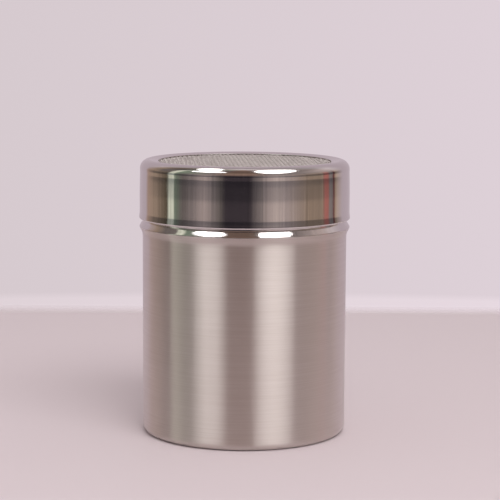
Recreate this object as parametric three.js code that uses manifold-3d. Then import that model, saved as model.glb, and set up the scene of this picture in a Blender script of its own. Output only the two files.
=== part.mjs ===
// Chocolate shaker: a drawn stainless steel cup with a push-on lid that holds a woven wire screen.
// Millimetres, +Z up. The origin is the middle of the cup's foot, on the surface it stands on.

import * as THREE from "three";
import { mergeVertices } from "three/addons/utils/BufferGeometryUtils.js";
import Module from "manifold-3d";

const wasm = await Module();
wasm.setup();

// Cup
const cupRadius = 34;
const cupSheet = 0.6;
const footFillet = 2.5;
const footWidth = 2;
const panelRise = 0.8;
const panelSlope = 1.2;
const beadHeight = 69.2;
const beadProud = 1.05;
const beadRound = 0.4;
const flareTilt = 26;
const flareBend = 3;
const shoulderTilt = 36;
const grooveDepth = 0.55;
const grooveBend = 1;
const grooveLeadOut = 1.4;
const neckHeight = 15.1;
const curlOpening = 0.2;

// Lid shell
const lidSheet = 0.6;
const slipGap = 0.4;
const skirtHeight = 16.3;
const lipHeight = 1.4;
const lipFlare = 0.25;
const rimRadius = 3.3;
const rimWidth = 6.3;
const rimDish = 0.5;

// Ring that clamps the screen under the rim, and stands on the cup's lip
const ringSheet = 0.6;
const ringHeight = 4;
const ringBend = 1.2;
const ringSetback = 0.2;
const ringGap = 0.3;
const seatGap = 0.3;

// Woven screen: crimped wires that pass over and under each other, with a flat pressed margin
const wireSize = 0.5;
const wirePitch = 3.4;
const wireCrimp = 0.2;
const weaveTurn = 3.5;
const marginSetback = 0.4;
const wireGrip = 1;
const clampGap = 0.3;

// Facets
const aroundSteps = 56;
const rimSteps = 6;
const roundSteps = 4;
const bendSteps = 3;
const beadSteps = 2;
const edgeSteps = 3;
const lipSteps = 2;

// Heights and radii that follow from the sizes above
const neckTop = beadHeight + neckHeight;
const ringFoot = neckTop + seatGap + ringSheet / 2;
const ringTop = ringFoot + ringHeight;
const screenThickness = wireSize + 2 * wireCrimp;
const screenTop = ringTop + clampGap + screenThickness;
const screenMiddle = screenTop - screenThickness / 2;
const lidTop = screenTop + clampGap + lidSheet + rimDish;
const rimFoot = lidTop - rimRadius;
const skirtFoot = rimFoot - skirtHeight;
const lidInside = cupRadius + slipGap;
const lidRadius = lidInside + lidSheet;
const openingRadius = lidRadius - rimWidth;

// Points on an arc about a centre, from one angle in degrees to another.
function arc(centreR, centreZ, radius, from, to, steps) {
  const points = [];
  for (let i = 0; i <= steps; i++) {
    const angle = THREE.MathUtils.degToRad(from + ((to - from) * i) / steps);
    points.push(
      new THREE.Vector2(centreR + radius * Math.cos(angle), centreZ + radius * Math.sin(angle)),
    );
  }
  return points;
}

// A corner between two straight stretches, rounded to an arc that touches both.
function bend(before, corner, after, radius, steps) {
  const into = corner.clone().sub(before).normalize();
  const out = after.clone().sub(corner).normalize();
  const turn = Math.atan2(into.cross(out), into.dot(out));
  const start = corner.clone().addScaledVector(into, -radius * Math.tan(Math.abs(turn) / 2));
  const inward = new THREE.Vector2(-into.y, into.x).multiplyScalar(Math.sign(turn) * radius);
  const centre = start.clone().add(inward);
  const points = [];
  for (let i = 0; i <= steps; i++) {
    points.push(start.clone().rotateAround(centre, (turn * i) / steps));
  }
  return points;
}

// The left-hand normal of the line from one point to the next.
function leftOf(from, to) {
  return new THREE.Vector2(from.y - to.y, to.x - from.x).normalize();
}

// A line moved sideways by one thickness, with its corners mitred.
function offset(line, thickness) {
  return line.map((point, i) => {
    const last = line.length - 1;
    const before = leftOf(line[Math.max(i, 1) - 1], line[Math.max(i, 1)]);
    const after = leftOf(line[Math.min(i, last - 1)], line[Math.min(i, last - 1) + 1]);
    const mitre = before.clone().add(after);
    return mitre.multiplyScalar(thickness / (1 + before.dot(after))).add(point);
  });
}

// Half a turn round a sheet's cut edge, from one face to the other.
function cutEdge(from, to) {
  const middle = from.clone().lerp(to, 0.5);
  const start = THREE.MathUtils.radToDeg(Math.atan2(from.y - middle.y, from.x - middle.x));
  const radius = from.distanceTo(middle);
  return arc(middle.x, middle.y, radius, start, start + 180, edgeSteps).slice(1, -1);
}

// A pressed sheet turned about the axis, given the outside of its section.
// A line that starts on the axis stays closed there, and any other has two cut edges.
function pressedSheet(outside, thickness) {
  const inside = offset(outside, thickness).reverse();
  const section = [...outside, ...cutEdge(outside.at(-1), inside[0]), ...inside];
  if (outside[0].x > 0) section.push(...cutEdge(inside.at(-1), outside[0]), outside[0].clone());
  return turned(section);
}

function turned(section) {
  const geometry = new THREE.LatheGeometry(section, aroundSteps);
  return geometry.rotateX(Math.PI / 2);
}

// One closed mesh with shared corners, as a solid that can be joined and cut.
function solidOf(geometry) {
  const bare = geometry.index ? geometry.toNonIndexed() : geometry.clone();
  bare.deleteAttribute("normal");
  bare.deleteAttribute("uv");
  const merged = mergeVertices(bare, 1e-4);
  const triVerts = new Uint32Array(merged.index.array);
  const vertProperties = merged.attributes.position.array;
  return new wasm.Manifold(new wasm.Mesh({ numProp: 3, vertProperties, triVerts }));
}

function geometryOf(solid) {
  const mesh = solid.getMesh();
  const geometry = new THREE.BufferGeometry();
  geometry.setAttribute("position", new THREE.BufferAttribute(mesh.vertProperties, 3));
  geometry.setIndex(new THREE.BufferAttribute(mesh.triVerts, 1));
  return geometry.toNonIndexed();
}

// The rolled bead just below the lid: a flare, a crest, a sloping shoulder, and the groove that the
// roller leaves above it. The neck goes on straight up from the groove's end.
function beadOutline() {
  const flare = THREE.MathUtils.degToRad(flareTilt);
  const shoulder = THREE.MathUtils.degToRad(shoulderTilt);
  const crestCentre = cupRadius + beadProud - beadRound;
  const crest = arc(crestCentre, beadHeight, beadRound, -flareTilt, shoulderTilt, beadSteps);
  const grooveRadius = cupRadius - grooveDepth;
  const flareFoot = crest[0].y - (crest[0].x - cupRadius) / Math.tan(flare);
  const grooveHeight = crest.at(-1).y + (crest.at(-1).x - grooveRadius) / Math.tan(shoulder);
  const wallCorner = new THREE.Vector2(cupRadius, flareFoot);
  const groove = new THREE.Vector2(grooveRadius, grooveHeight);
  const neckFoot = new THREE.Vector2(cupRadius, grooveHeight + grooveLeadOut);
  return [
    ...bend(new THREE.Vector2(cupRadius, 0), wallCorner, crest[0], flareBend, beadSteps),
    ...crest,
    ...bend(crest.at(-1), groove, neckFoot, grooveBend, beadSteps),
    neckFoot,
  ];
}

// Cup: raised base panel, standing foot, straight wall, bead, and a neck with its lip curled inwards.
function cupGeometry() {
  const footOutside = cupRadius - footFillet;
  const footInside = footOutside - footWidth;
  const curlRadius = cupSheet + curlOpening;
  const outside = [
    new THREE.Vector2(0, panelRise),
    new THREE.Vector2(footInside - panelSlope, panelRise),
    new THREE.Vector2(footInside, 0),
    ...arc(footOutside, footFillet, footFillet, -90, 0, roundSteps),
    ...beadOutline(),
    ...arc(cupRadius - curlRadius, neckTop - curlRadius, curlRadius, 0, 180, roundSteps),
  ];
  return pressedSheet(outside, cupSheet);
}

// Lid shell: a straight skirt whose lower lip flares out a little, a rounded rim, and a slightly
// dished top with a round opening.
function lidGeometry() {
  const rimCentre = lidRadius - rimRadius;
  const lipRadius = (lipHeight * lipHeight + lipFlare * lipFlare) / (2 * lipFlare);
  const lipAngle = THREE.MathUtils.radToDeg(Math.asin(lipHeight / lipRadius));
  const lipTop = skirtFoot + lipHeight;
  const outside = [
    ...arc(lidRadius + lipRadius, lipTop, lipRadius, 180 + lipAngle, 180, lipSteps),
    ...arc(rimCentre, rimFoot, rimRadius, 0, 90, rimSteps),
    new THREE.Vector2(openingRadius + lidSheet / 2, lidTop - rimDish),
  ];
  return pressedSheet(outside, lidSheet);
}

// Clamp ring: a short sleeve inside the skirt, bent in to a flange that bears on the screen's margin.
function ringGeometry() {
  const ringRadius = lidInside - ringGap;
  const outside = [
    new THREE.Vector2(ringRadius, ringFoot),
    ...arc(ringRadius - ringBend, ringTop - ringBend, ringBend, 0, 90, bendSteps),
    new THREE.Vector2(openingRadius + ringSetback + ringSheet / 2, ringTop),
  ];
  return pressedSheet(outside, ringSheet);
}

// One wire, seen from the side: a zigzag that passes over one crossing wire and under the next.
function wireGeometry(place, side) {
  const half = wireSize / 2;
  const reach = Math.sqrt((openingRadius + marginSetback) ** 2 - place ** 2);
  const crossings = Math.floor((reach - wireSize) / wirePitch);
  const grip = reach + wireGrip;
  const line = [new THREE.Vector2(-grip, 0)];
  const row = Math.round(place / wirePitch);
  for (let j = -crossings; j <= crossings; j++) {
    const up = (row + j) % 2 === 0 ? side : -side;
    line.push(new THREE.Vector2(j * wirePitch, up * wireCrimp));
  }
  line.push(new THREE.Vector2(grip, 0));
  const lower = line.map((p) => new THREE.Vector2(p.x, p.y - half));
  const upper = line.map((p) => new THREE.Vector2(p.x, p.y + half)).reverse();
  const outline = new THREE.Shape([...lower, ...upper]);
  const wire = new THREE.ExtrudeGeometry(outline, { depth: wireSize, bevelEnabled: false });
  return wire.rotateX(Math.PI / 2).translate(0, half + place, 0);
}

// Screen: two sets of crimped wires at right angles, joined to the flat margin that the lid clamps.
function screenGeometry() {
  const marginInside = openingRadius + marginSetback;
  const half = screenThickness / 2;
  const arch = rimRadius - lidSheet;
  const height = screenTop - rimFoot;
  const marginRadius = lidRadius - rimRadius + Math.sqrt(arch * arch - height * height) - slipGap;
  let screen = solidOf(
    turned([
      new THREE.Vector2(marginInside, -half),
      new THREE.Vector2(marginRadius, -half),
      new THREE.Vector2(marginRadius, half),
      new THREE.Vector2(marginInside, half),
      new THREE.Vector2(marginInside, -half),
    ]),
  );
  const rows = Math.floor((marginInside - wireSize) / wirePitch);
  for (let i = -rows; i <= rows; i++) {
    screen = screen.add(solidOf(wireGeometry(i * wirePitch, 1)));
    screen = screen.add(solidOf(wireGeometry(i * wirePitch, -1).rotateZ(Math.PI / 2)));
  }
  return geometryOf(screen);
}

function steel(color, roughness) {
  return new THREE.MeshStandardMaterial({ color, roughness, metalness: 1 });
}

function piece(name, geometry, material) {
  const mesh = new THREE.Mesh(geometry, material);
  mesh.name = name;
  return mesh;
}

const cup = new THREE.Group();
cup.add(piece("body_cup", cupGeometry(), steel("#b8aca4", 0.34)));

const lid = new THREE.Group();
lid.add(piece("lid_shell", lidGeometry(), steel("#c9c4c1", 0.08)));
lid.add(piece("clamp_ring", ringGeometry(), steel("#b5b0ad", 0.25)));
const screen = piece("mesh_screen", screenGeometry(), steel("#aca3a2", 0.4));
screen.position.z = screenMiddle;
screen.rotation.z = THREE.MathUtils.degToRad(weaveTurn);
lid.add(screen);

const shaker = new THREE.Group();
shaker.add(cup, lid);

export default shaker;
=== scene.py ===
# %% [markdown]
# # Chocolate shaker
# A hand-sized shaker for cocoa powder: a drawn steel cup, a push-on lid, and a fine wire screen that a
# ring clamps under the lid's rim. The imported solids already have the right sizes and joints, but their
# walls are faceted and plain. This lesson turns each of them into a smooth sheet-metal piece with its own
# finish, in the same place, so the solids carry on moving and the new pieces ride along.

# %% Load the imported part
import math

import bmesh
import bpy
from mathutils import Matrix, Vector


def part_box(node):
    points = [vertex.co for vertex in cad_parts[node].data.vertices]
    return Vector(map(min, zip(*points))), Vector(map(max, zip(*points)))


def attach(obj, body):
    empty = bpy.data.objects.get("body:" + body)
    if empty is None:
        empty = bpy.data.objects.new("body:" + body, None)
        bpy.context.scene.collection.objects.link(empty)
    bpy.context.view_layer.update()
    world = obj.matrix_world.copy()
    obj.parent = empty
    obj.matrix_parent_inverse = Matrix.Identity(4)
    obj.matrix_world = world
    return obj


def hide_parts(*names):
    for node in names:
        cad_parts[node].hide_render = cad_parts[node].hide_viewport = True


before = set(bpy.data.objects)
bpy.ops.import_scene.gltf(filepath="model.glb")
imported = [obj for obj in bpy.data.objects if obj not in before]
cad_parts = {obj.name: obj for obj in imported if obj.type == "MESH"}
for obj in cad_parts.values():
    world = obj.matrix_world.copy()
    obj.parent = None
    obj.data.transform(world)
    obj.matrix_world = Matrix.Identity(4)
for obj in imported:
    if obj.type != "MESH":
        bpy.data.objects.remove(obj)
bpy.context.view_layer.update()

# %% [markdown]
# ## Sizes
# Every piece is made in metres, in the frame of the solids. The overall radii and heights are read from
# the solids' own boxes, so the looks follow if the part is made in another size. What a box can't tell,
# such as the thickness of the sheet or the roundness of a bend, is given here in millimetres.

# %% Read the main radii and heights
MM = 0.001

_, cup_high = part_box("body_cup")
lid_low, lid_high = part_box("lid_shell")
ring_low, ring_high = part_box("clamp_ring")
_, screen_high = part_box("mesh_screen")

sheet = 0.6 * MM
bead_radius = cup_high.x
bead_proud = 1.05 * MM
cup_radius = bead_radius - bead_proud
lip_radius = lid_high.x
lip_flare = 0.27 * MM
lid_radius = lip_radius - lip_flare
rim_width = 6.3 * MM
opening_radius = lid_radius - rim_width
print(f"cup {2 * cup_radius / MM:.1f} mm, lid {2 * lid_radius / MM:.1f} mm across")

# %% [markdown]
# ## Camera
# The photograph was taken from about 60 cm away with a long lens, a little above the lid and tilted down
# 7.5 degrees. A long lens keeps the sides of the cup nearly parallel, so the lens and the distance are
# set together. The frame is square, so one number for the sensor's width is enough. The angles are in
# radians, and the lens and the sensor in millimetres.

# %% Set the camera where the photograph was taken from
camera_back = 0.600
camera_height = 0.1401
camera_tilt = 0.1312
camera_yaw = -0.0031
camera_roll = 0.0053
lens_length = 130.1
sensor_width = 36

camera = bpy.data.objects.new("camera", bpy.data.cameras.new("camera"))
bpy.context.scene.collection.objects.link(camera)
turn_to_part = Matrix.Rotation(camera_yaw, 4, "Z") @ Matrix.Rotation(math.pi / 2 - camera_tilt, 4, "X")
camera.matrix_world = (
    Matrix.Translation((0, -camera_back, camera_height))
    @ turn_to_part
    @ Matrix.Rotation(camera_roll, 4, "Z")
)
camera.data.sensor_width = sensor_width
camera.data.lens = lens_length
bpy.context.scene.camera = camera
bpy.context.scene.view_settings.view_transform = "Standard"
print(f"camera {camera_back / MM:.0f} mm back, lens {lens_length} mm")

# %% [markdown]
# ## Three small helpers
# Colours are written as the hex values that a colour picker shows. Those are sRGB, and a shader works in
# linear light, so one function turns them. The second function adds a node, gives it its settings, and
# fills its sockets with values or with links from other nodes, which keeps a material short to read. The
# third starts a material with nothing in it.

# %% Define the colour, node and material helpers


def linear(hex_colour):
    """An sRGB hex colour such as "#c8bfb8" as linear red, green, blue and alpha."""
    channels = [int(hex_colour[i : i + 2], 16) / 255 for i in (1, 3, 5)]
    curve = [c / 12.92 if c <= 0.04045 else ((c + 0.055) / 1.055) ** 2.4 for c in channels]
    return (*curve, 1.0)


def add_node(tree, kind, sockets=None, stops=None, **settings):
    """Adds a node. Each named or numbered socket gets a value or a link, and a ramp gets its stops."""
    node = tree.nodes.new(kind)
    for name, value in settings.items():
        setattr(node, name, value)
    for name, value in (sockets or {}).items():
        if isinstance(value, bpy.types.NodeSocket):
            tree.links.new(value, node.inputs[name])
        else:
            node.inputs[name].default_value = value
    if stops:
        ramp = node.color_ramp
        ramp.elements[0].position, ramp.elements[0].color = stops[0]
        ramp.elements[1].position, ramp.elements[1].color = stops[-1]
        for place, colour in stops[1:-1]:
            ramp.elements.new(place).color = colour
    return node


def new_material(name):
    """A material and its empty node tree."""
    material = bpy.data.materials.new(name)
    material.use_nodes = True
    material.node_tree.nodes.clear()
    return material, material.node_tree


print("sRGB #808080 in linear light:", [round(c, 3) for c in linear("#808080")])

# %% [markdown]
# ## The room that the steel mirrors
# Polished steel has hardly any look of its own: it shows what stands round it. The shaker stood on a
# pale table before a pale wall, in a room that is dim in front of it and has a narrow bright strip on
# the left. The upright lid mirrors that room near the height of the table, the sloping rim and bead
# mirror it higher up, and the top of the rim mirrors the ceiling. The room could be built as walls and
# boards, but only its reflection is needed, so it is painted on the world by direction instead.
#
# Two rows of colours go round the part, one for what stands low and one for what stands higher. Each
# stop is an angle in degrees from the camera's side, to the right, and one of a few plain paints. A
# third row is the shade from floor to ceiling, with a dim band just above the table's edge.

# %% Choose the room's paints and where they go
pale = "#d5cacd"
light_grey = "#cfbfb9"
pale_grey = "#bcaca8"
mid_grey = "#8f8482"
dim_grey = "#706865"
near_black = "#423b40"
beige = "#bfa794"
tan = "#a08c7c"
brown = "#8c7468"
dark_brown = "#5c5344"
bright_strip = "#e4e8d5"
sage_green = "#7f8d7c"
dull_red = "#b8766e"
dark_red = "#6e4240"

room_low = [
    (-180, pale),
    (-137, pale),
    (-131, beige),
    (-112, tan),
    (-92, dark_brown),
    (-90, bright_strip),
    (-84, bright_strip),
    (-82, sage_green),
    (-72, dim_grey),
    (-58, mid_grey),
    (-44, pale_grey),
    (-34, mid_grey),
    (-26, dim_grey),
    (-21, near_black),
    (5, near_black),
    (17, mid_grey),
    (26, pale_grey),
    (33, light_grey),
    (46, pale_grey),
    (72, tan),
    (94, tan),
    (97, dull_red),
    (103, dull_red),
    (105, mid_grey),
    (111, mid_grey),
    (112, dark_red),
    (114, dark_red),
    (117, beige),
    (133, pale),
    (180, pale),
]
room_high = [
    (-180, pale),
    (-137, pale),
    (-122, tan),
    (-108, dim_grey),
    (-92, dim_grey),
    (-89, bright_strip),
    (-83, bright_strip),
    (-79, sage_green),
    (-40, mid_grey),
    (-20, brown),
    (8, brown),
    (30, mid_grey),
    (70, mid_grey),
    (105, pale_grey),
    (125, pale),
    (180, pale),
]
shade_upwards = [
    (-5.4, "#e4e4e4"),
    (-3.3, "#a4a7ad"),
    (5, "#a4a7ad"),
    (11, "#e4e4e4"),
    (35, "#f4f4f4"),
    (48, "#c4c4c4"),
    (68, "#b4b4b4"),
    (82, "#ffffff"),
]
print(f"room: {len(room_low)} stops low down, {len(room_high)} higher up, {len(shade_upwards)} upwards")

# %% Find the angle and the height of every direction


def share_of_turn(degrees):
    """Where an angle lies on a ramp that goes once round, with the camera's side in its middle."""
    return degrees / 360 + 0.5


def share_of_height(degrees):
    """Where an elevation lies on a ramp that goes from straight down to straight up."""
    return math.sin(math.radians(degrees)) / 2 + 0.5


world = bpy.data.worlds.new("room")
bpy.context.scene.world = world
world.use_nodes = True
room = world.node_tree
room.nodes.clear()
direction = add_node(room, "ShaderNodeTexCoord").outputs["Generated"]
axes = add_node(room, "ShaderNodeSeparateXYZ", {0: direction})
towards = add_node(room, "ShaderNodeMath", {0: axes.outputs["Y"], 1: -1.0}, operation="MULTIPLY")
angle = add_node(
    room, "ShaderNodeMath", {0: axes.outputs["X"], 1: towards.outputs[0]}, operation="ARCTAN2"
)
around = add_node(
    room,
    "ShaderNodeMapRange",
    {"Value": angle.outputs[0], "From Min": -math.pi, "From Max": math.pi},
)
upwards = add_node(
    room, "ShaderNodeMapRange", {"Value": axes.outputs["Z"], "From Min": -1, "From Max": 1}
)
print("the room's left side is at", share_of_turn(-90), "of the turn")

# %% [markdown]
# ## Colour, shade and clutter
# The low row of colours fades into the high one over the heights where the skirt ends and the rim and
# bead begin. The shade darkens both, apart from the wall behind the part, which is lit evenly from top to
# bottom. A mirror also shows the many small things of a room. They are too many to place, so a noise that
# runs only round the part draws them as fine upright streaks, and the plain wall behind stays calm.

# %% Colour the mirrored room
COLOUR_A, COLOUR_B, COLOUR_RESULT = 6, 7, 2  # a Mix node's sockets when it mixes colours
low_room_ends = 0.10
high_room_begins = 0.40
wall_begins = 0.45
wall_is_all = 0.70
wall_shade = "#d2cdd3"

rows = []
for row in (room_low, room_high):
    ramp = add_node(
        room,
        "ShaderNodeValToRGB",
        {"Fac": around.outputs[0]},
        stops=[(share_of_turn(turn), linear(paint)) for turn, paint in row],
    )
    rows.append(ramp.outputs[0])
high_up = add_node(
    room,
    "ShaderNodeMapRange",
    {"Value": axes.outputs["Z"], "From Min": low_room_ends, "From Max": high_room_begins},
)
whole_room = add_node(
    room,
    "ShaderNodeMix",
    {"Factor": high_up.outputs[0], COLOUR_A: rows[0], COLOUR_B: rows[1]},
    data_type="RGBA",
)
room_shade = add_node(
    room,
    "ShaderNodeValToRGB",
    {"Fac": upwards.outputs[0]},
    stops=[(share_of_height(height), linear(grey)) for height, grey in shade_upwards],
)
behind = add_node(
    room,
    "ShaderNodeMapRange",
    {"Value": axes.outputs["Y"], "From Min": wall_begins, "From Max": wall_is_all},
)
height_shade = add_node(
    room,
    "ShaderNodeMix",
    {"Factor": behind.outputs[0], COLOUR_A: room_shade.outputs[0], COLOUR_B: linear(wall_shade)},
    data_type="RGBA",
)
shaded_room = add_node(
    room,
    "ShaderNodeVectorMath",
    {0: whole_room.outputs[COLOUR_RESULT], 1: height_shade.outputs[COLOUR_RESULT]},
    operation="MULTIPLY",
)
print(f"the low row starts to fade {math.degrees(math.asin(low_room_ends)):.0f} degrees up")

# %% Streak it and light it
streaks_round = 130
streak_contrast = 0.20
room_strength = 1.3

streaks = add_node(
    room,
    "ShaderNodeTexNoise",
    {"W": around.outputs[0], "Scale": streaks_round, "Detail": 2, "Roughness": 0.6},
    noise_dimensions="1D",
)
streak_shade = add_node(
    room,
    "ShaderNodeMapRange",
    {
        "Value": streaks.outputs["Fac"],
        "From Min": 0.25,
        "From Max": 0.75,
        "To Min": 1 - streak_contrast,
        "To Max": 1 + streak_contrast,
    },
)
calm_wall = add_node(
    room,
    "ShaderNodeMix",
    {"Factor": behind.outputs[0], "A": streak_shade.outputs[0], "B": 1.0},
    data_type="FLOAT",
)
streaked_room = add_node(
    room,
    "ShaderNodeVectorMath",
    {0: shaded_room.outputs[0], "Scale": calm_wall.outputs[0]},
    operation="SCALE",
)
mirrored_room = add_node(
    room, "ShaderNodeBackground", {"Color": streaked_room.outputs[0], "Strength": room_strength}
)
print(f"about {streaks_round} streaks round the part, {streak_contrast:.0%} lighter or darker")

# %% [markdown]
# ## The wall and the light in the room
# The camera looks past the part at the pale wall, which gets a little paler to the right. Just above
# the table a band of painted light makes it paler still. That too is painted on the world, and only the
# camera sees it, so it stays as pale as it is written. Surfaces that aren't shiny need no picture of a
# room: they get one even pale light from all round. Light Path tells the three kinds of ray apart.

# %% Paint the wall for the camera and the even light
wall_edge = 0.14
wall_left = "#d6cacf"
wall_right = "#ddd0d7"
# Just above the table the wall is painted brighter: a band of painted light at its foot.
wall_foot_below = -0.157
wall_foot_above = -0.1535
painted_wall_foot_light_strength = 1.1

ray = add_node(room, "ShaderNodeLightPath")
across = add_node(
    room,
    "ShaderNodeMapRange",
    {"Value": axes.outputs["X"], "From Min": -wall_edge, "From Max": wall_edge},
)
wall_colour = add_node(
    room,
    "ShaderNodeValToRGB",
    {"Fac": across.outputs[0]},
    stops=[(0, linear(wall_left)), (1, linear(wall_right))],
)
# The band of painted light: the wall is painted brighter where it meets the table.
wall_foot_painted_light = add_node(
    room,
    "ShaderNodeMapRange",
    {
        "Value": axes.outputs["Z"],
        "From Min": wall_foot_below,
        "From Max": wall_foot_above,
        "To Min": painted_wall_foot_light_strength,
        "To Max": 1.0,
    },
)
pale_wall = add_node(
    room, "ShaderNodeBackground", {"Color": wall_colour.outputs[0], "Strength": wall_foot_painted_light.outputs[0]}
)
even_light = add_node(room, "ShaderNodeBackground", {"Color": linear("#f6efee"), "Strength": 0.7})
unseen = add_node(
    room,
    "ShaderNodeMixShader",
    {0: ray.outputs["Is Glossy Ray"], 1: even_light.outputs[0], 2: mirrored_room.outputs[0]},
)
seen = add_node(
    room,
    "ShaderNodeMixShader",
    {0: ray.outputs["Is Camera Ray"], 1: unseen.outputs[0], 2: pale_wall.outputs[0]},
)
add_node(room, "ShaderNodeOutputWorld", {"Surface": seen.outputs[0]})
print(f"world painted with {len(room.nodes)} nodes")

# %% [markdown]
# ## Table
# The table is a plain pale top with a satin lacquer, which shows a soft shadow and next to no reflection.
# It ends softly: past its edge it lets the world show through, so the camera sees no hard horizon, and
# the lid mirrors the dim room beyond the table's front edge, as it does in the photograph.

# %% Make the table
table_middle = Vector((0, -0.039, 0))
table_half = Vector((0.42, 0.271, 0))
table_fade = 0.027
table_reach = 0.6
table_drop = 0.01 * MM

table_mesh = bmesh.new()
bmesh.ops.create_grid(
    table_mesh,
    x_segments=4,
    y_segments=4,
    size=table_reach,
    matrix=Matrix.Translation((0, 0, -table_drop)),
)
table_data = bpy.data.meshes.new("table")
table_mesh.to_mesh(table_data)
table_mesh.free()
table = bpy.data.objects.new("table", table_data)
bpy.context.scene.collection.objects.link(table)
print(f"table {2 * table_half.x:.2f} by {2 * table_half.y:.2f} m")

# %% Lacquer the table and fade its edge
lacquer, tree = new_material("pale_lacquered_table")
place = add_node(tree, "ShaderNodeTexCoord").outputs["Object"]
table_axes = add_node(tree, "ShaderNodeSeparateXYZ", {0: place})
inside = []
for axis, middle, half in (("X", table_middle.x, table_half.x), ("Y", table_middle.y, table_half.y)):
    off = add_node(tree, "ShaderNodeMath", {0: table_axes.outputs[axis], 1: middle}, operation="SUBTRACT")
    reach = add_node(tree, "ShaderNodeMath", {0: off.outputs[0]}, operation="ABSOLUTE")
    fade = add_node(
        tree,
        "ShaderNodeMapRange",
        {
            "Value": reach.outputs[0],
            "From Min": half,
            "From Max": half + table_fade,
            "To Min": 1,
            "To Max": 0,
        },
        interpolation_type="SMOOTHSTEP",
    )
    inside.append(fade.outputs[0])
both = add_node(tree, "ShaderNodeMath", {0: inside[0], 1: inside[1]}, operation="MULTIPLY")
top = add_node(
    tree,
    "ShaderNodeBsdfPrincipled",
    {"Base Color": linear("#d5c8cc"), "Roughness": 0.6, "Specular IOR Level": 0.2},
)
gone = add_node(tree, "ShaderNodeBsdfTransparent")
soft_edge = add_node(
    tree, "ShaderNodeMixShader", {0: both.outputs[0], 1: gone.outputs[0], 2: top.outputs[0]}
)
add_node(tree, "ShaderNodeOutputMaterial", {"Surface": soft_edge.outputs[0]})
table_data.materials.append(lacquer)
print(f"its edge fades over {table_fade / MM:.0f} mm")

# %% [markdown]
# ## Lights
# Three oval soft boxes hang overhead, one on the right and two on the left. They make the white flashes
# on the rim and bead and the tall stripes on the wall of the cup, and only shiny surfaces show them. The
# key light does the opposite: it lights the table and gives the soft shadow, and no shiny surface shows
# it. That way the flashes and the shadow can be set one by one. Places and sizes are given in heights of
# the lights above the table, because a mirror shows directions: hung higher, the same numbers give the
# same flashes.

# %% Hang the soft boxes and the key light
light_height = 1.2
soft_lights = {
    "right_soft_box": {"at": (0.52, -0.46), "size": (0.72, 1.16), "turn": 22, "power": 9.1},
    "left_soft_box": {"at": (-0.40, -0.08), "size": (0.32, 0.92), "turn": -22, "power": 2.7},
    "left_low_box": {"at": (-0.64, -0.50), "size": (0.73, 0.32), "turn": -31, "power": 4.0},
    "key_light": {"at": (0.42, -0.92), "size": (1.1, 1.1), "turn": 0, "power": 26.5},
}
for name, light in soft_lights.items():
    lamp = bpy.data.lights.new(name, "AREA")
    lamp.shape = "ELLIPSE"
    lamp.size, lamp.size_y = [s * light_height for s in light["size"]]
    lamp.energy = light["power"]
    hung = bpy.data.objects.new(name, lamp)
    bpy.context.scene.collection.objects.link(hung)
    hung.location = (light["at"][0] * light_height, light["at"][1] * light_height, light_height)
    hung.rotation_euler.z = math.radians(light["turn"])
    hung.visible_camera = False
    hung.visible_glossy = name != "key_light"
    hung.visible_diffuse = name == "key_light"
print("lights:", list(soft_lights))

# %% [markdown]
# ## How a sheet-metal shell is made
# Cup, lid and ring are all pressed or spun from flat sheet, so each is one section turned about the axis.
# The section starts as a few corners joined by straight edges. Bevelling a corner rounds it to a true arc,
# as a press tool would. Long straight stretches are cut up, because smooth shading blends the normals
# across a face, and a narrow face keeps that blend close to the bend. Spin turns the section into a skin,
# and Solidify gives the skin its thickness inwards. Last, the sheet's cut edges are bevelled, because a
# deburred edge catches the light.

# %% Define how a section is rounded
arc_step = math.radians(6)
fewest_arc_steps = 3
longest_stretch = 1.0 * MM


def rounded_section(corners):
    """The corners as a wire outline, each rounded to its own bend radius (0 leaves it sharp)."""
    section = bmesh.new()
    places = [Vector((radius, 0, height)) for radius, height, _ in corners]
    dots = [section.verts.new(at) for at in places]
    for start, end in zip(dots, dots[1:]):
        section.edges.new((start, end))
    for i, (_, _, bend) in enumerate(corners):
        if bend:
            turn = (places[i] - places[i - 1]).angle(places[i + 1] - places[i])
            bmesh.ops.bevel(
                section,
                geom=[dots[i]],
                offset=bend * math.tan(turn / 2),
                offset_type="OFFSET",
                segments=max(fewest_arc_steps, math.ceil(turn / arc_step)),
                profile=0.5,
                affect="VERTICES",
                material=-1,
            )
    for edge in section.edges[:]:
        cuts = int(edge.calc_length() / longest_stretch)
        if cuts:
            bmesh.ops.subdivide_edges(section, edges=[edge], cuts=cuts)
    return section


print(f"a bend has an edge every {math.degrees(arc_step):.0f} degrees")

# %% Define how a section becomes a shell
around_steps = 180
weld_distance = 0.001 * MM
sharp_edge = math.radians(60)
edge_round = 0.16 * MM
edge_steps = 3


def sheet_shell(corners, thickness):
    """A closed sheet-metal shell, turned from the outside of its section."""
    shell = rounded_section(corners)
    bmesh.ops.spin(
        shell,
        geom=shell.verts[:] + shell.edges[:],
        cent=(0, 0, 0),
        axis=(0, 0, 1),
        angle=math.tau,
        steps=around_steps,
        use_merge=True,
    )
    bmesh.ops.remove_doubles(shell, verts=shell.verts[:], dist=weld_distance)
    bmesh.ops.recalc_face_normals(shell, faces=shell.faces[:])
    widest = max(shell.faces, key=lambda face: face.calc_center_median().xy.length)
    if widest.normal.xy.dot(widest.calc_center_median().xy) < 0:
        bmesh.ops.reverse_faces(shell, faces=shell.faces[:])
    bmesh.ops.solidify(shell, geom=shell.faces[:], thickness=thickness)
    cut_edges = [edge for edge in shell.edges if edge.calc_face_angle(0) > sharp_edge]
    bmesh.ops.bevel(
        shell,
        geom=cut_edges,
        offset=edge_round,
        offset_type="OFFSET",
        segments=edge_steps,
        profile=0.5,
        affect="EDGES",
        material=-1,
    )
    return shell


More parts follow.
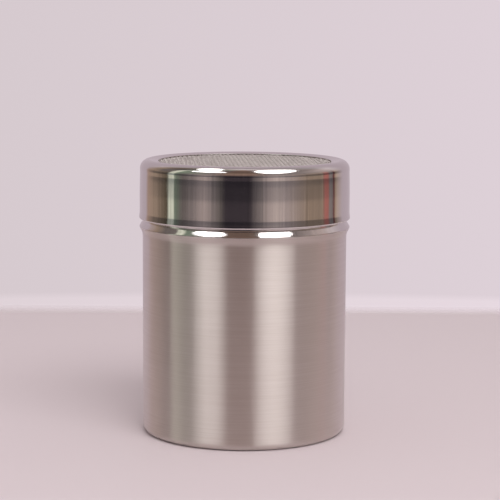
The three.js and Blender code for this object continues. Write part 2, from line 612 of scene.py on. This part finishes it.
def finished_piece(name, mesh, finish_of=None):
    """Puts a mesh in the scene, smooth, with each face's finish chosen from its middle and normal."""
    for face in mesh.faces:
        face.smooth = True
        if finish_of:
            face.material_index = finish_of(face.calc_center_median(), face.normal)
    open_edges = sum(1 for edge in mesh.edges if len(edge.link_faces) != 2)
    data = bpy.data.meshes.new(name)
    mesh.to_mesh(data)
    mesh.free()
    piece = bpy.data.objects.new(name, data)
    bpy.context.scene.collection.objects.link(piece)
    data.calc_loop_triangles()
    print(f"{name}: {len(data.loop_triangles)} triangles, {open_edges} open edges")
    return piece


print(f"a shell has {around_steps} faces round, and its cut edges are rounded to {edge_round / MM} mm")

# %% [markdown]
# ## Cup
# The cup is deep-drawn in one piece. Its base is pressed up a little so that it stands on a narrow ring,
# and the wall is dead straight up to a rolled bead just below the lid. The bead is the part's character
# line: a satin flare below, a crisp crest, and a sloping polished shoulder that flashes white under the
# lights. The roller leaves a shallow groove above it, and the neck goes straight on up inside the lid, to
# a lip that is curled inwards. The lid stands on that lip, and no sharp edge is left. The section follows
# the solid's, with the shoulder and the groove a touch softer, as they look in the photograph.

# %% Size the foot and the bead
foot_round = 2.5 * MM
foot_width = 2.0 * MM
foot_inside_bend = 0.8 * MM
panel_rise = 0.8 * MM
panel_slope = 1.2 * MM
panel_bend = 2.0 * MM
foot_inside = cup_radius - foot_round - foot_width

bead_height = 69.2 * MM
bead_round = 0.4 * MM
flare_tilt = math.radians(26)
flare_bend = 3.0 * MM
shoulder_tilt = math.radians(30)
groove_depth = 0.1 * MM
groove_radius = cup_radius - groove_depth
groove_bend = 0.7 * MM
groove_lead_out = 1.4 * MM

# The crest is rounded, so the corner where flare and shoulder would meet lies just outside it.
half_crest = (flare_tilt + shoulder_tilt) / 2
crest_lean = (shoulder_tilt - flare_tilt) / 2
crest_reach = bead_round / math.cos(half_crest)
crest_radius = bead_radius - bead_round + crest_reach * math.cos(crest_lean)
crest_height = bead_height + crest_reach * math.sin(crest_lean)
flare_foot = crest_height - (crest_radius - cup_radius) / math.tan(flare_tilt)
groove_height = crest_height + (crest_radius - groove_radius) / math.tan(shoulder_tilt)
print(f"bead from {flare_foot / MM:.1f} to {groove_height / MM:.1f} mm high")

# %% Make the cup
neck_top = cup_high.z
neck_bend = 3.0 * MM
curl_radius = 0.8 * MM
curl_tail = 0.1 * MM
lip_height = neck_top - curl_radius
curl_inside = cup_radius - 2 * curl_radius
facing_down = -0.9

cup_corners = [
    (0, panel_rise, 0),
    (foot_inside - panel_slope, panel_rise, panel_bend),
    (foot_inside, 0, foot_inside_bend),
    (cup_radius, 0, foot_round),
    (cup_radius, flare_foot, flare_bend),
    (crest_radius, crest_height, bead_round),
    (groove_radius, groove_height, groove_bend),
    (cup_radius, groove_height + groove_lead_out, neck_bend),
    (cup_radius, neck_top, curl_radius),
    (curl_inside, neck_top, curl_radius),
    (curl_inside, lip_height - curl_tail, 0),
]

BRUSHED, POLISHED, DRAWN = range(3)


def cup_finish(middle, normal):
    """Brushed wall, polished bead and neck, and the plain drawn surface inside and underneath."""
    outwards = normal.xy.dot(middle.xy) > 0
    if middle.z > bead_height:
        return POLISHED if outwards or middle.z > lip_height else DRAWN
    if normal.z < facing_down or not outwards:
        return DRAWN
    return BRUSHED


cup = finished_piece("cup", sheet_shell(cup_corners, sheet), cup_finish)

# %% [markdown]
# ## Lid shell
# The lid is a shallow pressing, polished to a mirror. Its skirt ends in a rounded hem that flares out a
# quarter of a millimetre, so it slips over the neck. Above the hem the wall leans in very slightly, and
# under the rounded rim the press has left it a touch hollow. Those few hundredths of a millimetre don't
# change the outline, but on a mirror they move what it shows, and draw lines right round the lid. The top
# dips a little towards a round opening, whose cut edge is only deburred. The sheet is drawn thinner than
# the solid's, so that no thick dark edge stands round the screen.

# %% Make the lid shell
lid_sheet = 0.34 * MM
lid_foot = lid_low.z + 0.3 * MM
lid_top = lid_high.z
hem_round = 0.6 * MM
hem_bend = 0.55 * MM
hem_inset = 0.02 * MM
flare_height = 2.1 * MM
skirt_bend = 8.0 * MM
lean_height = 8.4 * MM
lean_bend = 170.0 * MM
hollow_depth = 0.139 * MM
hollow_height = 4.2 * MM
hollow_bend = 8.0 * MM
rim_round = 3.1 * MM
rim_foot = lid_top - rim_round
rim_flat = lid_radius - 3.3 * MM
rim_dish = 0.5 * MM
dish_bend = 3.0 * MM
cut_edge_width = 0.1 * MM
leaning_down = -0.3

lid_corners = [
    (lip_radius - hem_round, lid_foot, 0),
    (lip_radius - hem_inset, lid_foot, hem_bend),
    (lid_radius, lid_foot + flare_height, skirt_bend),
    (lid_radius, lid_top - lean_height, lean_bend),
    (lid_radius - hollow_depth, lid_top - hollow_height, hollow_bend),
    (lid_radius, lid_top, rim_round),
    (rim_flat, lid_top, dish_bend),
    (opening_radius, lid_top - rim_dish, 0),
]

MIRROR, PRESSED = range(2)


def lid_finish(middle, normal):
    """A mirror outside, and the plain pressed surface inside and on the opening's cut edge."""
    inside_skirt = normal.xy.dot(middle.xy) < 0 and middle.z < rim_foot
    under_rim = normal.z < leaning_down and middle.z > rim_foot
    cut_edge = middle.xy.length < opening_radius + cut_edge_width
    return PRESSED if inside_skirt or under_rim or cut_edge else MIRROR


lid = finished_piece("lid", sheet_shell(lid_corners, lid_sheet), lid_finish)

# %% [markdown]
# ## Clamp ring
# Nothing in the photograph shows what holds the screen, but its edge lies under the rim with no seam or
# rivet, so a ring must press it up from inside. It is a short sleeve of the same sheet as the cup, bent in
# to a flat flange. It is made like the lid, with fewer corners.

# %% Make the clamp ring
ring_radius = ring_high.x
ring_bend = 1.2 * MM
ring_setback = 0.2 * MM

ring_corners = [
    (ring_radius, ring_low.z, 0),
    (ring_radius, ring_high.z, ring_bend),
    (opening_radius + ring_setback, ring_high.z, 0),
]
clamp = finished_piece("ring", sheet_shell(ring_corners, sheet))

# %% [markdown]
# ## Woven screen
# The screen is plain-woven wire cloth: each wire goes over one crossing wire and under the next, and its
# neighbour does the opposite. The photograph shows about 1.4 mm from wire to wire, so there are some
# thirteen hundred openings, far more than the solid could hold. A flat disc with a pattern would be
# lighter, but real rods shade each other as the cloth does. So each wire starts as an eight-sided rod, is
# cut across at every crossing and halfway between, and is then bent up and down. The two sets of wires
# are two pieces, because they lie across each other, and both are turned a few degrees, as the photograph
# shows.

# %% Weave the two sets of wires
wire = 0.54 * MM
pitch = 1.4 * MM
crimp = 0.2 * MM
wire_sides = 8
fewest_crossings = 2
weave_turn = math.radians(3.5)
cloth_margin = 0.3 * MM
cloth_radius = screen_high.x - cloth_margin
cloth_height = lid_top - rim_dish - lid_sheet - wire / 2


def crimped_wires(phase, turn):
    """One set of wires along X, bent over and under, then turned about the axis."""
    cloth = bmesh.new()
    wires_aside = int(cloth_radius / pitch)
    for number in range(-wires_aside, wires_aside + 1):
        offset = number * pitch
        crossings_aside = int(math.sqrt(cloth_radius**2 - offset**2) / pitch)
        if crossings_aside < fewest_crossings:
            continue
        rod = bmesh.ops.create_cone(
            cloth,
            cap_ends=True,
            cap_tris=False,
            segments=wire_sides,
            radius1=wire / 2,
            radius2=wire / 2,
            depth=2 * crossings_aside * pitch,
            matrix=Matrix.Translation((0, offset, 0)) @ Matrix.Rotation(math.pi / 2, 4, "Y"),
        )["verts"]
        sides = {edge for vert in rod for edge in vert.link_edges if edge.calc_length() > wire}
        # Two stretches to a pitch, on a rod that is twice as many pitches long as it has crossings aside.
        bmesh.ops.subdivide_edges(cloth, edges=list(sides), cuts=4 * crossings_aside - 1)
    for vert in cloth.verts:
        number = round(vert.co.y / pitch)
        vert.co.z += crimp * math.cos(math.pi * (vert.co.x / pitch + number + phase))
    bmesh.ops.rotate(cloth, verts=cloth.verts[:], cent=(0, 0, 0), matrix=Matrix.Rotation(turn, 3, "Z"))
    bmesh.ops.translate(cloth, verts=cloth.verts[:], vec=(0, 0, cloth_height))
    return cloth


warp = finished_piece("screen_warp", crimped_wires(0, weave_turn + math.pi / 2))
weft = finished_piece("screen_weft", crimped_wires(1, weave_turn))

# %% [markdown]
# ## Brushed stainless steel
# The wall of the cup is brushed while it turns, so its scratches run round it. Across the scratches the
# steel scatters light widely, and along them hardly at all: that is why the lights stretch into tall soft
# stripes whose sides stay sharp. The shader's anisotropy does this, with a tangent that runs round the
# axis. The scratches themselves are finer than the render can show, so they are drawn at about one third
# of a millimetre, a few times too coarse, and kept faint. Wider bands, where the belt has pressed harder
# or lighter, change the roughness a little.

# %% Draw the scratches and the bands
scratch_length = 22 * MM
scratch_height = 0.34 * MM
scratch_depth = 0.01 * MM
band_length = 3 * scratch_length
band_height = 2.5 * MM
most_of_noise = {"From Min": 0.3, "From Max": 0.7}  # the range that holds most of a noise's values

brushed, tree = new_material("brushed_stainless_steel")
place = add_node(tree, "ShaderNodeTexCoord").outputs["Object"]
fine_place = add_node(
    tree,
    "ShaderNodeMapping",
    {"Vector": place, "Scale": (1 / scratch_length, 1 / scratch_length, 1 / scratch_height)},
)
scratches = add_node(
    tree,
    "ShaderNodeTexNoise",
    {"Vector": fine_place.outputs[0], "Scale": 1, "Detail": 3, "Roughness": 0.6},
)
band_place = add_node(
    tree,
    "ShaderNodeMapping",
    {"Vector": place, "Scale": (1 / band_length, 1 / band_length, 1 / band_height)},
)
bands = add_node(
    tree,
    "ShaderNodeTexNoise",
    {"Vector": band_place.outputs[0], "Scale": 1, "Detail": 4, "Roughness": 0.6},
)
tone = add_node(
    tree,
    "ShaderNodeValToRGB",
    {"Fac": scratches.outputs["Fac"]},
    stops=[(0.3, linear("#d3cac4")), (0.7, linear("#dbd3ce"))],
)
roughness = add_node(
    tree,
    "ShaderNodeMapRange",
    {"Value": bands.outputs["Fac"], **most_of_noise, "To Min": 0.285, "To Max": 0.315},
)
relief = add_node(
    tree,
    "ShaderNodeBump",
    {"Height": scratches.outputs["Fac"], "Strength": 0.25, "Distance": scratch_depth},
)
print(f"scratches {scratch_height / MM:.2f} mm apart, bands {band_height / MM:.1f} mm")

# %% [markdown]
# A brushed wall isn't flat: about a third of what the eye sees is the sides of grooves that face upwards.
# They bring the lights overhead into a wall that would otherwise mirror only the table and the low room.
# A finer bump could draw them, but they are far smaller than a pixel, so two steels are mixed instead, one
# for the skin and one whose normal leans up as those sides do.

# %% Mix the steel's skin with the sides of its grooves
groove_slope = 0.5
groove_share = 0.36

round_axis = add_node(tree, "ShaderNodeTangent", direction_type="RADIAL", axis="Z")
plain_normal = add_node(tree, "ShaderNodeNewGeometry").outputs["Normal"]
leaning = add_node(tree, "ShaderNodeVectorMath", {0: plain_normal, 1: (0, 0, groove_slope)})
groove_side = add_node(tree, "ShaderNodeVectorMath", {0: leaning.outputs[0]}, operation="NORMALIZE")
faces_of_wall = []
for normal in (relief.outputs[0], groove_side.outputs[0]):
    steel = add_node(
        tree,
        "ShaderNodeBsdfPrincipled",
        {
            "Base Color": tone.outputs[0],
            "Metallic": 1.0,
            "Roughness": roughness.outputs[0],
            "Anisotropic": 1.0,
            "Anisotropic Rotation": 0.25,
            "Normal": normal,
            "Tangent": round_axis.outputs[0],
        },
    )
    faces_of_wall.append(steel.outputs[0])
brushed_wall = add_node(
    tree, "ShaderNodeMixShader", {0: groove_share, 1: faces_of_wall[0], 2: faces_of_wall[1]}
)
add_node(tree, "ShaderNodeOutputMaterial", {"Surface": brushed_wall.outputs[0]})
print(f"groove sides lean {math.degrees(math.atan(groove_slope)):.0f} degrees")

# %% [markdown]
# ## Polished stainless steel
# The lid and the bead are buffed on a wheel until they mirror. A perfect mirror looks false, so the finish
# keeps what the work leaves: a slight waviness of the sheet, 7 mm across a wave and 20 mm along it, fine
# upright draw lines, 0.8 mm wide, that fray the edges of what the steel mirrors, and faint smudges of
# about 9 mm that dull it here and there.

# %% Make the polished steel
wave_width = 7 * MM
wave_length = 20 * MM
wave_depth = 0.02 * MM
draw_width = 0.8 * MM
draw_length = 40 * MM
draw_depth = 0.009 * MM
smudge_size = 9 * MM

mirror_steel, tree = new_material("mirror_polished_stainless_steel")
place = add_node(tree, "ShaderNodeTexCoord").outputs["Object"]
smudges = add_node(
    tree,
    "ShaderNodeTexNoise",
    {"Vector": place, "Scale": 1 / smudge_size, "Detail": 5, "Roughness": 0.65},
)
roughness = add_node(
    tree,
    "ShaderNodeMapRange",
    {"Value": smudges.outputs["Fac"], "From Min": 0.35, "From Max": 0.75, "To Min": 0.05, "To Max": 0.12},
)
wave_place = add_node(
    tree,
    "ShaderNodeMapping",
    {"Vector": place, "Scale": (1 / wave_width, 1 / wave_width, 1 / wave_length)},
)
waves = add_node(tree, "ShaderNodeTexNoise", {"Vector": wave_place.outputs[0], "Scale": 1, "Detail": 1})
wavy = add_node(
    tree, "ShaderNodeBump", {"Height": waves.outputs["Fac"], "Strength": 1.0, "Distance": wave_depth}
)
draw_place = add_node(
    tree,
    "ShaderNodeMapping",
    {"Vector": place, "Scale": (1 / draw_width, 1 / draw_width, 1 / draw_length)},
)
draw_lines = add_node(
    tree, "ShaderNodeTexNoise", {"Vector": draw_place.outputs[0], "Scale": 1, "Detail": 2}
)
relief = add_node(
    tree,
    "ShaderNodeBump",
    {
        "Height": draw_lines.outputs["Fac"],
        "Strength": 1.0,
        "Distance": draw_depth,
        "Normal": wavy.outputs[0],
    },
)
steel = add_node(
    tree,
    "ShaderNodeBsdfPrincipled",
    {
        "Base Color": linear("#d6d1cf"),
        "Metallic": 1.0,
        "Roughness": roughness.outputs[0],
        "Normal": relief.outputs[0],
    },
)
add_node(tree, "ShaderNodeOutputMaterial", {"Surface": steel.outputs[0]})
print(f"draw lines {draw_width / MM:.1f} mm wide, smudges {smudge_size / MM:.0f} mm")

# %% [markdown]
# ## Drawn stainless steel
# Inside and underneath, nobody has polished anything. The sheet keeps the matt skin that rolling and
# drawing leave, grey and even, with a fine grain. The real grain is far below a tenth of a millimetre, so
# it is drawn at half a millimetre and kept faint.

# %% Make the drawn steel
grain_size = 0.5 * MM
grain_depth = 0.01 * MM

drawn, tree = new_material("drawn_stainless_steel")
place = add_node(tree, "ShaderNodeTexCoord").outputs["Object"]
grain = add_node(
    tree,
    "ShaderNodeTexNoise",
    {"Vector": place, "Scale": 1 / grain_size, "Detail": 4, "Roughness": 0.7},
)
tone = add_node(
    tree,
    "ShaderNodeValToRGB",
    {"Fac": grain.outputs["Fac"]},
    stops=[(0.3, linear("#b9b3ae")), (0.7, linear("#cbc5c1"))],
)
roughness = add_node(
    tree,
    "ShaderNodeMapRange",
    {"Value": grain.outputs["Fac"], **most_of_noise, "To Min": 0.28, "To Max": 0.38},
)
relief = add_node(
    tree, "ShaderNodeBump", {"Height": grain.outputs["Fac"], "Strength": 0.3, "Distance": grain_depth}
)
steel = add_node(
    tree,
    "ShaderNodeBsdfPrincipled",
    {
        "Base Color": tone.outputs[0],
        "Metallic": 1.0,
        "Roughness": roughness.outputs[0],
        "Normal": relief.outputs[0],
    },
)
add_node(tree, "ShaderNodeOutputMaterial", {"Surface": steel.outputs[0]})
print(f"grain {grain_size / MM:.1f} mm")

# %% [markdown]
# ## Drawn wire
# The wire is stainless too, drawn through a die, so it is bright but not a mirror, and the cloth looks
# even and grey from a little way off. Where wires cross, they shade each other, and a little tarnish in
# patches of some 2.5 mm keeps the cloth from looking new.

# %% Make the wire
tarnish_size = 2.5 * MM

wire_steel, tree = new_material("woven_stainless_wire")
place = add_node(tree, "ShaderNodeTexCoord").outputs["Object"]
tarnish = add_node(tree, "ShaderNodeTexNoise", {"Vector": place, "Scale": 1 / tarnish_size, "Detail": 3})
tone = add_node(
    tree,
    "ShaderNodeValToRGB",
    {"Fac": tarnish.outputs["Fac"]},
    stops=[(0.3, linear("#afa8a4")), (0.7, linear("#c6bfbc"))],
)
roughness = add_node(
    tree,
    "ShaderNodeMapRange",
    {"Value": tarnish.outputs["Fac"], **most_of_noise, "To Min": 0.48, "To Max": 0.58},
)
steel = add_node(
    tree,
    "ShaderNodeBsdfPrincipled",
    {"Base Color": tone.outputs[0], "Metallic": 1.0, "Roughness": roughness.outputs[0]},
)
add_node(tree, "ShaderNodeOutputMaterial", {"Surface": steel.outputs[0]})
print(f"tarnish {tarnish_size / MM:.1f} mm")

# %% [markdown]
# ## Dress the pieces
# Each piece gets its finishes in the order that its faces were given, is attached to the body that it
# moves with, and the solid that it stands for is hidden.

# %% Give each piece its finish and body, and hide its solid
pieces = [
    (cup, "cup", "body_cup", "cup_steel", [brushed, mirror_steel, drawn]),
    (lid, "lid", "lid_shell", "lid_steel", [mirror_steel, drawn]),
    (clamp, "lid", "clamp_ring", "ring_steel", [drawn]),
    (warp, "lid", "mesh_screen", "screen_wire", [wire_steel]),
    (weft, "lid", "mesh_screen", "screen_wire", [wire_steel]),
]
for piece, body, node, slot, finishes in pieces:
    for finish in finishes:
        piece.data.materials.append(finish)
    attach(piece, body)
    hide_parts(node)
print("dressed:", [piece.name for piece, *_ in pieces])
